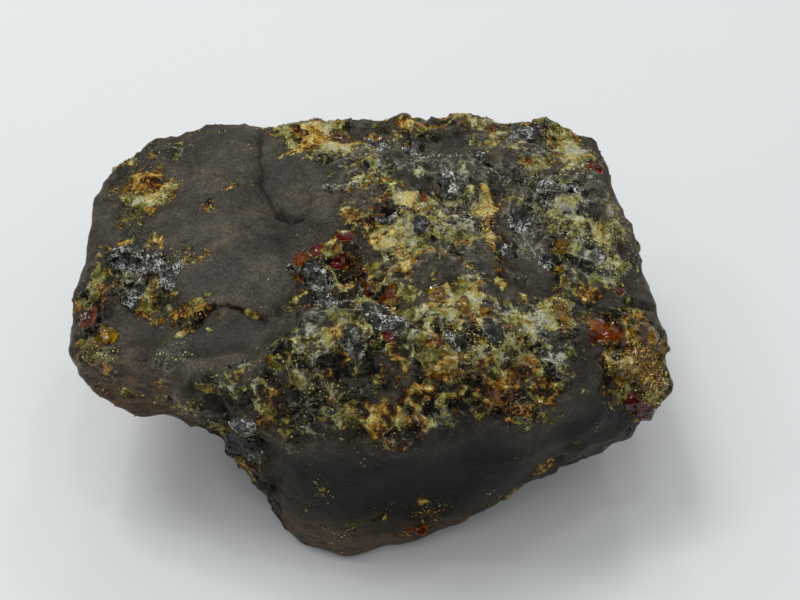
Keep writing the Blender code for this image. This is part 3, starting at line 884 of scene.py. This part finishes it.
# Middle (x, y, z), half size, and how proud it stands for its size.
NUGGETS = {
    "yellow": [
        (55, -14, 40, 2.9, 0.5), (55, -17, 37, 3.2, 0.5), (54, -20, 34, 2.6, 0.5),
        (58, -13, 36, 2.4, 0.5), (51, -21, 36, 2.0, 0.5), (57, -17, 32, 2.6, 0.5),
        (38, -14, 47, 2.9, 0.5), (39, 6, 46, 2.4, 0.4), (40, 3.2, 46, 1.6, 0.4), (38, 0, 45, 1.9, 0.4),
        (-42, -2, 45, 2.6, 0.4), (-52, -17, 40, 2.4, 0.5), (-51, -13.5, 40, 2.4, 0.4),
        (-50, -20, 40, 1.9, 0.5), (19, -17, 50, 2.4, 0.4), (23, -16, 50, 2.0, 0.4),
        (27, -20, 49, 1.7, 0.4), (14, -12, 49, 1.9, 0.4), (2, 37, 46, 1.9, 0.4), (9, 35, 47, 1.7, 0.4),
        (40, 34, 45, 2.2, 0.4), (18, 13, 48, 1.8, 0.4), (-36, -25, 36, 1.6, 0.4),
        (-24, -31, 30, 1.9, 0.5), (34, 44, 34, 2.6, 0.5), (-48, 35, 35, 2.4, 0.5), (58, 20, 30, 2.3, 0.5),
        (30, -22, 10, 2.2, 0.5), (-28, 24, 14, 2.3, 0.5),
    ],
    "orange": [
        (46, -13, 41, 3.4, 0.25), (49, -14, 41, 2.6, 0.25), (-53, -10, 40, 2.2, 0.4),
        (4, -11, 49, 2.0, 0.5), (0, -8.5, 48, 2.5, 0.6), (-13, -5, 48, 1.5, 0.5), (-13, 0, 48, 1.7, 0.4),
        (10, -37, 6, 1.9, 0.4), (52, -17, 38, 2.2, 0.5), (58, -19, 33, 2.0, 0.5), (12, 16, 50, 1.7, 0.4),
        (27, 42, 45, 2.1, 0.4), (48, 30, 44, 1.9, 0.4), (-6, 37, 47, 1.5, 0.4), (8, 44, 30, 2.4, 0.5),
        (-30, 40, 34, 2.1, 0.5), (-57, 14, 36, 2.0, 0.5), (56, 4, 22, 2.3, 0.5), (24, -30, 42, 1.7, 0.4),
    ],
    "red": [
        (55, -22, 28, 3.0, 0.5), (53, -24, 30, 2.0, 0.5), (-10, 2, 47, 1.5, 0.4), (-5, 0, 46, 1.7, 0.5),
        (-4, 4, 49, 1.6, 0.5), (5, -24, 52, 1.6, 0.5), (-11, -13, 49, 1.3, 0.5), (0, -11, 48, 1.6, 0.5),
        (44, -16, 42, 1.9, 0.5), (20, 44, 24, 2.2, 0.5), (-54, 22, 34, 1.8, 0.5), (50, -4, 41, 1.6, 0.5),
    ],
    "dark": [
        (-49, 3, 43, 4.2, 0.1), (-43, 1, 44, 4.4, 0.1), (-38, -4, 46, 3.4, 0.1), (-46, -4, 43, 3.0, 0.1),
        (-11, -4, 47, 3.4, 0.1), (-7, -9, 48, 4.4, 0.1), (-2, -9, 48, 3.2, 0.1), (2, -16, 50, 3.6, 0.1),
        (5, -20, 51, 3.0, 0.1), (17, -24, 51, 2.4, 0.1), (24, -22, 50, 2.4, 0.1), (32, 11, 47, 3.4, 0.1),
        (29, 3, 47, 2.8, 0.1), (37, 1, 46, 2.6, 0.1), (2, 33, 48, 3.8, 0.1), (9, 34, 47, 3.0, 0.1),
        (34, 39, 46, 3.2, 0.1), (-24, -28, 24, 4.0, 0.1), (-21, -30, 35, 3.6, 0.1), (12, 6, 50, 2.6, 0.1),
        (5, 8, 50, 2.2, 0.1), (43, 20, 46, 2.6, 0.1), (24, 30, 47, 2.4, 0.1), (17, 22, 48, 2.4, 0.1),
        (37, 20, 47, 2.4, 0.1), (20, 45, 25, 4.0, 0.1), (-26, 42, 20, 3.6, 0.1), (59, 6, 26, 3.6, 0.1),
        (49, -18, 39, 2.2, 0.1), (-6, -13, 49, 3.4, 0.1), (46, 4, 45, 2.4, 0.1), (-1, -25, 50, 2.8, 0.1),
    ],
}
# Closeness at a piece's own rim, where it comes out of the rind, and where its pocket is deepest.
SHELL_EDGE, BORDER, OPEN = 0.22, 0.45, 0.9
POCKET_DEEP, UNDER_POCKET = 1.3, 0.5
# Colour that the light keeps on its way through, and how fast the rest is lost, per metre.
RESINS = {
    "yellow": ((0.97, 0.80, 0.03), 600.0),
    "orange": ((0.94, 0.50, 0.01), 700.0),
    "red": ((0.85, 0.16, 0.01), 1300.0),
}
# Painted glint colour on the dark resin, and the cloudy colour inside it.
PAINTED_GLINT, CLOUDY_RESIN = (0.76, 0.77, 0.70), (0.040, 0.038, 0.016)  # on and in the dark resin


def closeness(places):
    """How close the skin's points are to the pieces at these places, and how proud the skin of the
    resin stands there. Closeness is exp(-d^2.5), where d is the distance from the piece's middle in
    half sizes, measured 1.35 times shorter along one random way in the skin and 1.35 longer across."""
    best, proud = np.zeros(len(skin)), np.zeros(len(skin))
    for turn, (*middle, size, stand) in enumerate(places):
        seat = np.argmin(((skin - middle) ** 2).sum(-1))
        side = np.cross(facing[seat], (0.3, 0.9, 0.2))
        side /= np.linalg.norm(side)
        one = side * math.cos(2.4 * turn) + np.cross(facing[seat], side) * math.sin(2.4 * turn)
        offset = waved - waved[seat]
        along, across = offset @ one, offset @ np.cross(facing[seat], one)
        through = offset @ facing[seat]
        away = np.sqrt((along / 1.35) ** 2 + (across * 1.35) ** 2 + through**2) / size
        near = np.exp(-(away**2.5))
        best, proud = np.maximum(best, near), np.where(near > best, size * stand, proud)
    return best, proud


def resin_shell(close, proud):
    """A closed shell over the points that are close to a piece. Its top stands off the skin by 1.2
    times proud times (closeness - border), plus chips, so it dips under the skin at the border, and
    inside the border it stays above the lower part of the pocket. Its bottom lies under the pocket,
    and side walls join the rims of both. Where the piece shows, its top becomes the surface."""
    kept = rind_quads[(close[rind_quads] > SHELL_EDGE).all(1)]
    used, renamed = np.unique(kept, return_inverse=True)
    top, near = renamed.reshape(kept.shape), close[used]
    scar = scoops(skin[used], 2.0, 1.5, 0.5, seed=12)[0]
    stand = 1.2 * proud[used] * (near - BORDER) + 0.7 * (scar - scar.mean()) * np.clip(near * 2 - 0.7, 0, 1)
    stand = np.maximum(stand, np.where(near > BORDER, -0.3 * pocket[used], -1))
    points = skin[used] + facing[used] * stand[:, None]
    under = skin[used] - facing[used] * (pocket[used] + UNDER_POCKET)[:, None]
    surface[used] = np.where((near > BORDER)[:, None], points, surface[used])
    runs = np.concatenate([top[:, [corner, (corner + 1) % 4]] for corner in range(4)])
    _, first, count = np.unique(np.sort(runs, 1), axis=0, return_index=True, return_counts=True)
    rims = runs[first[count == 1]]
    walls = np.stack([rims[:, 1], rims[:, 0], rims[:, 0] + len(used), rims[:, 1] + len(used)], -1)
    return np.concatenate([points, under]), np.concatenate([top, top[:, ::-1] + len(used), walls])


def make_clear_resin(name, tint, lost):
    """Clear resin: light goes through it, bends, and is tinted on its way."""
    material, place, shader = new_material(name, AMBER_IOR, Transmission_Weight=1.0, Specular_IOR_Level=0.25)
    tree = place.id_data
    cloudy = spread_over(noise(place, 700.0, 4.0), 0.35, 0.7)
    clear, milky = tuple(part**0.5 for part in tint), tuple(0.5 * part**0.8 for part in tint)
    chips = placed(tree, chips_group, Scale=620.0, Stir=0.0008)
    fed(shader, {"Base Color": mixed(cloudy, clear, milky), "Normal": bumped(chips["Height"], 1.6 * MM),
                 "Roughness": spread_over(cloudy, 0.2, 0.9, 0.02, 0.16)})
    absorbed = node(tree, "VolumeAbsorption", {"Color": (*tint, 1), "Density": lost})
    fed(tree.nodes["Material Output"], {"Volume": absorbed.outputs[0]})
    return material


def make_dark_resin():
    """Black, glassy resin with ragged painted white glints on some of its chips: white base colour that
    stands in for reflections.
    """
    material, place, shader = new_material("dark glassy amber", AMBER_IOR, Specular_IOR_Level=0.45)
    chips = placed(place.id_data, chips_group, Scale=560.0, Stir=0.0016)
    small_chips = placed(place.id_data, chips_group, Scale=1300.0, Stir=0.0008)
    lit = spread_over(chips["Cell"], 0.5, 0.8)
    # Painted glints: white base colour on some chips and along their rims.
    painted_glints = larger(cover(times(lit, 0.34), 800.0, 3.1), times(small_chips["Rim"], lit))
    colour = mixed(spread_over(noise(place, 330.0, 4.0), 0.45, 0.7), BARE_RESIN, CLOUDY_RESIN)
    height = plus(chips["Height"], times(small_chips["Height"], 0.8))
    fed(shader, {"Base Color": mixed(times(painted_glints, 0.9), colour, PAINTED_GLINT), "Normal": bumped(height, MM),
                 "Roughness": spread_over(small_chips["Cell"], 0.5, 1.0, 0.05, 0.25)})
    return material


close_to = {shade: closeness(places) for shade, places in NUGGETS.items()}
closest = np.max([close for close, _ in close_to.values()], axis=0)
runner_up = np.sort([close for close, _ in close_to.values()], axis=0)[-2]
# Pieces that touch overlap a little. A pocket opens only where its piece has whole quads to stand on.
own_part = {shade: np.where(close < closest - 0.1, 0, close) for shade, (close, _) in close_to.items()}
roomy = np.zeros(len(skin))
for close in own_part.values():
    roomy[rind_quads[(close[rind_quads] > SHELL_EDGE).all(1)]] = 1
open_part = np.clip((closest - BORDER) / (OPEN - BORDER), 0, 1) * roomy
pocket = POCKET_DEEP * open_part
rind.data.vertices.foreach_set("co", ((skin - facing * pocket[:, None]) * MM).astype(np.float32).ravel())
rind.data.update()
set_values(rind, {"seat": np.clip(open_part * 2, 0, 1) * np.clip((closest - runner_up) * 6, 0, 1)})
surface = skin.copy()  # what one touches: the rind, or the resin where it stands over it
for shade, (_, proud) in close_to.items():
    lumps = new_piece(shade + "_resin", *resin_shell(own_part[shade], proud))
    rounded = lumps.modifiers.new("rounded", "SUBSURF")
    rounded.levels = rounded.render_levels = 1
    if shade in RESINS:
        lumps.data.materials.append(make_clear_resin(shade + " clear amber", *RESINS[shade]))
    else:
        lumps.data.materials.append(make_dark_resin())
    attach(lumps, "root")

# ---- Crust grains -----------------------------------------------------------------------------
# Crumbs of weathered resin that stand loose-looking but firm on the crust: angular, cream, mustard,
# orange and white, each less than a millimetre across.
GRAINS = 20000
GRAIN_SIZE = (0.08, 0.26)  # half size, smallest and largest
GRAIN_STRAY = 0.7  # how far a crumb may lie from its point of the skin
# The three axes of a crumb end in its points 0 to 2 on one side and 3 to 5 on the other.
GRAIN_FACES = [(0, 1, 2), (1, 3, 2), (3, 4, 2), (4, 0, 2), (1, 0, 5), (3, 1, 5), (4, 3, 5), (0, 4, 5)]
# Resin that has crumbled like brown sugar, at both ends of the lump.
SUGARY = {
    "right end": (55, -17, 37, 5.5, 5.5, 6, 1.0),
    "right end, low": (57, -20, 32, 4, 4, 4, 0.8),
    "left corner": (-51, -18, 40, 3, 3, 3, 0.8),
    "golden": (39, -14, 47, 2, 2, 3, 0.5),
}


def crumbs_on(count, chance, seed):
    """Small eight-sided crumbs on the surface. Points of the skin are drawn with the given chance
    each, by where even steps fall in the running total of the chances. A crumb is three axes of
    random length and turn, half sunk, and none dips under the table. Returns the points and the
    triangles, and for each crumb its point of the skin and a random number."""
    def luck(factors, turn):
        """Three random numbers for each crumb, from its own number times the factors."""
        return hashed(np.arange(count)[:, None] * factors, seed + turn)

    total = np.cumsum(chance)
    drawn = np.searchsorted(total, (np.arange(count) + 0.5) / count * total[-1])
    small, tint, _ = luck((1, 2, 3), 0).T
    turned = 2 * luck((3, 1, 5), 1) - 1
    first = turned / np.linalg.norm(turned, axis=1, keepdims=True)
    other = np.cross(first, facing[drawn] + 0.01)
    other /= np.linalg.norm(other, axis=1, keepdims=True)
    axes = np.stack([first, other, np.cross(first, other)], 1)
    size = GRAIN_SIZE[0] + (GRAIN_SIZE[1] - GRAIN_SIZE[0]) * small[:, None] ** 2.5
    lengths = size * (0.6 + 0.8 * luck((7, 1, 1), 2))
    shift = luck((2, 9, 1), 3) - 0.5
    shift -= (shift * facing[drawn]).sum(-1, keepdims=True) * facing[drawn]
    middle = surface[drawn] + GRAIN_STRAY * shift
    tips = axes * lengths[:, :, None]
    corners = np.concatenate([middle[:, None] + tips, middle[:, None] - tips], 1)
    corners[..., 2] = np.maximum(corners[..., 2], 0)
    faces = np.array(GRAIN_FACES) + 6 * np.arange(count)[:, None, None]
    return corners.reshape(-1, 3), faces.reshape(-1, 3), drawn, tint


def grain_material():
    """Crumbs by their own stored tone: dark, mustard, cream or white, mottled within each."""
    material, place, shader = new_material("crust crumbs", AMBER_IOR)
    value = stored(place.id_data, "tone", "warm")
    uneven = spread_over(noise(place, 2600.0, 3.0, 0.7), 0.3, 0.7, -0.15, 0.15)
    brightness = plus(value["tone"], uneven)
    grey, cream, rusty = (ramp(brightness, stops) for stops in (GREY_FILL, CREAM_FILL, RUST_FILL))
    colour = mixed(spread_over(value["warm"], 0.1, 0.4), grey, cream)
    colour = mixed(spread_over(value["warm"], 0.6, 0.9), colour, rusty)
    fed(shader, {"Base Color": colour, "Normal": bumped(uneven, 0.1 * MM, 0.5),
                 "Roughness": spread_over(brightness, 0.2, 0.8, 0.25, 0.7)})
    return material


# The crumbs gather on the crust, the frost and the vein, along the ledge's white edge and round the
# pieces of resin, and lie on the resin itself only where it is sugary.
round_resin = bell(closest - 0.38, 0.12)
sugar = np.clip(belonging(strayed, SUGARY, 2) + 0.5 * patchy, 0, 1)
white_line = bell(ledge_away, 0.5) * on_top * np.clip(0.6 + patchy, 0, 1)
wanted = 0.75 * crust + 0.65 * frost_and_glints + 0.8 * white_line + 0.3 * rust + 0.5 * vein + 0.6 * round_resin
wanted = np.clip(wanted - 0.25 - 2 * open_part * (1 - sugar) + 0.9 * sugar, 0, 1)
wanted *= np.clip(1 + 1.2 * patchy + 0.8 * fine, 0, 2)
grain_points, grain_faces, drawn, tint = crumbs_on(GRAINS, wanted * lying + 0.002 * broken, 5)
grains = new_piece("crust_grains", grain_points, grain_faces, smooth=False)
grains.data.materials.append(grain_material())
grain_values = {
    "tone": 0.10 + 0.55 * tint + 0.35 * pale[drawn] + 0.2 * (frost_and_glints + white_line + sugar)[drawn],
    "warm": warm[drawn] - 0.15 * sugar[drawn] + 0.5 * (hashed(grain_faces[::8], 3)[:, 0] - 0.5),
}
set_values(grains, {name: np.repeat(np.clip(value, 0, 1), 6) for name, value in grain_values.items()})
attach(grains, "root")

# ---- Table and light --------------------------------------------------------------------------
# The lump lies on a pale, matt table top. The light is a studio's: a large soft panel and five
# small ones, whose reflections glint on the chips, and a pale ceiling whose light falls off
# towards the horizon.
TABLE_PALE, TABLE_REACH = (0.70, 0.715, 0.715), 1500
SKY, SKY_LOW, SKY_HIGH = (0.97, 0.98, 1.0), 0.28, 0.92  # colour; strength at the horizon and overhead
BACKDROP = 0.70  # strength of the pale backdrop that is seen behind the table
# Each panel's place and side in metres, and its power.
PANELS = {
    "large soft panel": ((-0.42, 0.32, 1.15), 0.45, 4.6),
    "small panel behind": ((-0.22, 0.38, 0.95), 0.09, 0.8),
    "small panel on the left": ((-0.62, 0.02, 0.75), 0.07, 0.45),
    "small panel on the right": ((0.25, 0.50, 0.80), 0.07, 0.45),
    "small panel overhead": ((0.12, 0.12, 1.10), 0.08, 0.5),
    "small panel far behind": ((-0.05, 0.80, 0.75), 0.08, 0.5),
}

table_corners = TABLE_REACH * np.array([(-1, -1, 0), (1, -1, 0), (1, 1, 0), (-1, 1, 0)])
table = new_piece("table", table_corners, np.array([[0, 1, 2, 3]]))
paper, paper_place, paper_shader = new_material("pale matt table", 1.45, Roughness=0.6)
paper_tone = noise(paper_place, 9.0, 2.0)
fed(paper_shader, {"Base Color": mixed(paper_tone, TABLE_PALE, tuple(0.96 * part for part in TABLE_PALE))})
table.data.materials.append(paper)

studio = bpy.data.worlds.new("studio")
studio.use_nodes = True
sky = studio.node_tree
height = node(sky, "SeparateXYZ", {0: node(sky, "TexCoord", {}).outputs["Generated"]}).outputs["Z"]
ceiling = {"Value": height, "From Min": 0.25, "From Max": 1.0, "To Min": SKY_LOW, "To Max": SKY_HIGH}
backdrop = times(node(sky, "LightPath", {}).outputs["Is Camera Ray"], BACKDROP)
strength = larger(node(sky, "MapRange", ceiling).outputs[0], backdrop)
fed(sky.nodes["Background"], {"Color": (*SKY, 1), "Strength": strength})
bpy.context.scene.world = studio

for name, (place, side, watts) in PANELS.items():
    panel = bpy.data.objects.new(name, bpy.data.lights.new(name, "AREA"))
    panel.data.size, panel.data.energy = side, watts
    panel.location = place
    panel.rotation_euler = Vector(place).to_track_quat("Z", "Y").to_euler()
    bpy.context.scene.collection.objects.link(panel)

# ---- Camera -----------------------------------------------------------------------------------
# It looks down on the front from 48 degrees above the table, from 28 centimetres away.
LENS, ELEVATION, DISTANCE, LOOK_AT = 60, 48, 0.28, (0.0069, 0.005, 0.0295)

camera = bpy.data.objects.new("camera", bpy.data.cameras.new("camera"))
camera.data.lens, camera.data.clip_start = LENS, 0.01
slope = math.radians(ELEVATION)
back_by, up_by = DISTANCE * math.cos(slope), DISTANCE * math.sin(slope)
camera.location = (LOOK_AT[0], LOOK_AT[1] - back_by, LOOK_AT[2] + up_by)
camera.rotation_euler = (math.radians(90 - ELEVATION), 0, 0)
bpy.context.scene.collection.objects.link(camera)
bpy.context.scene.camera = camera
bpy.context.scene.view_settings.view_transform = "Standard"
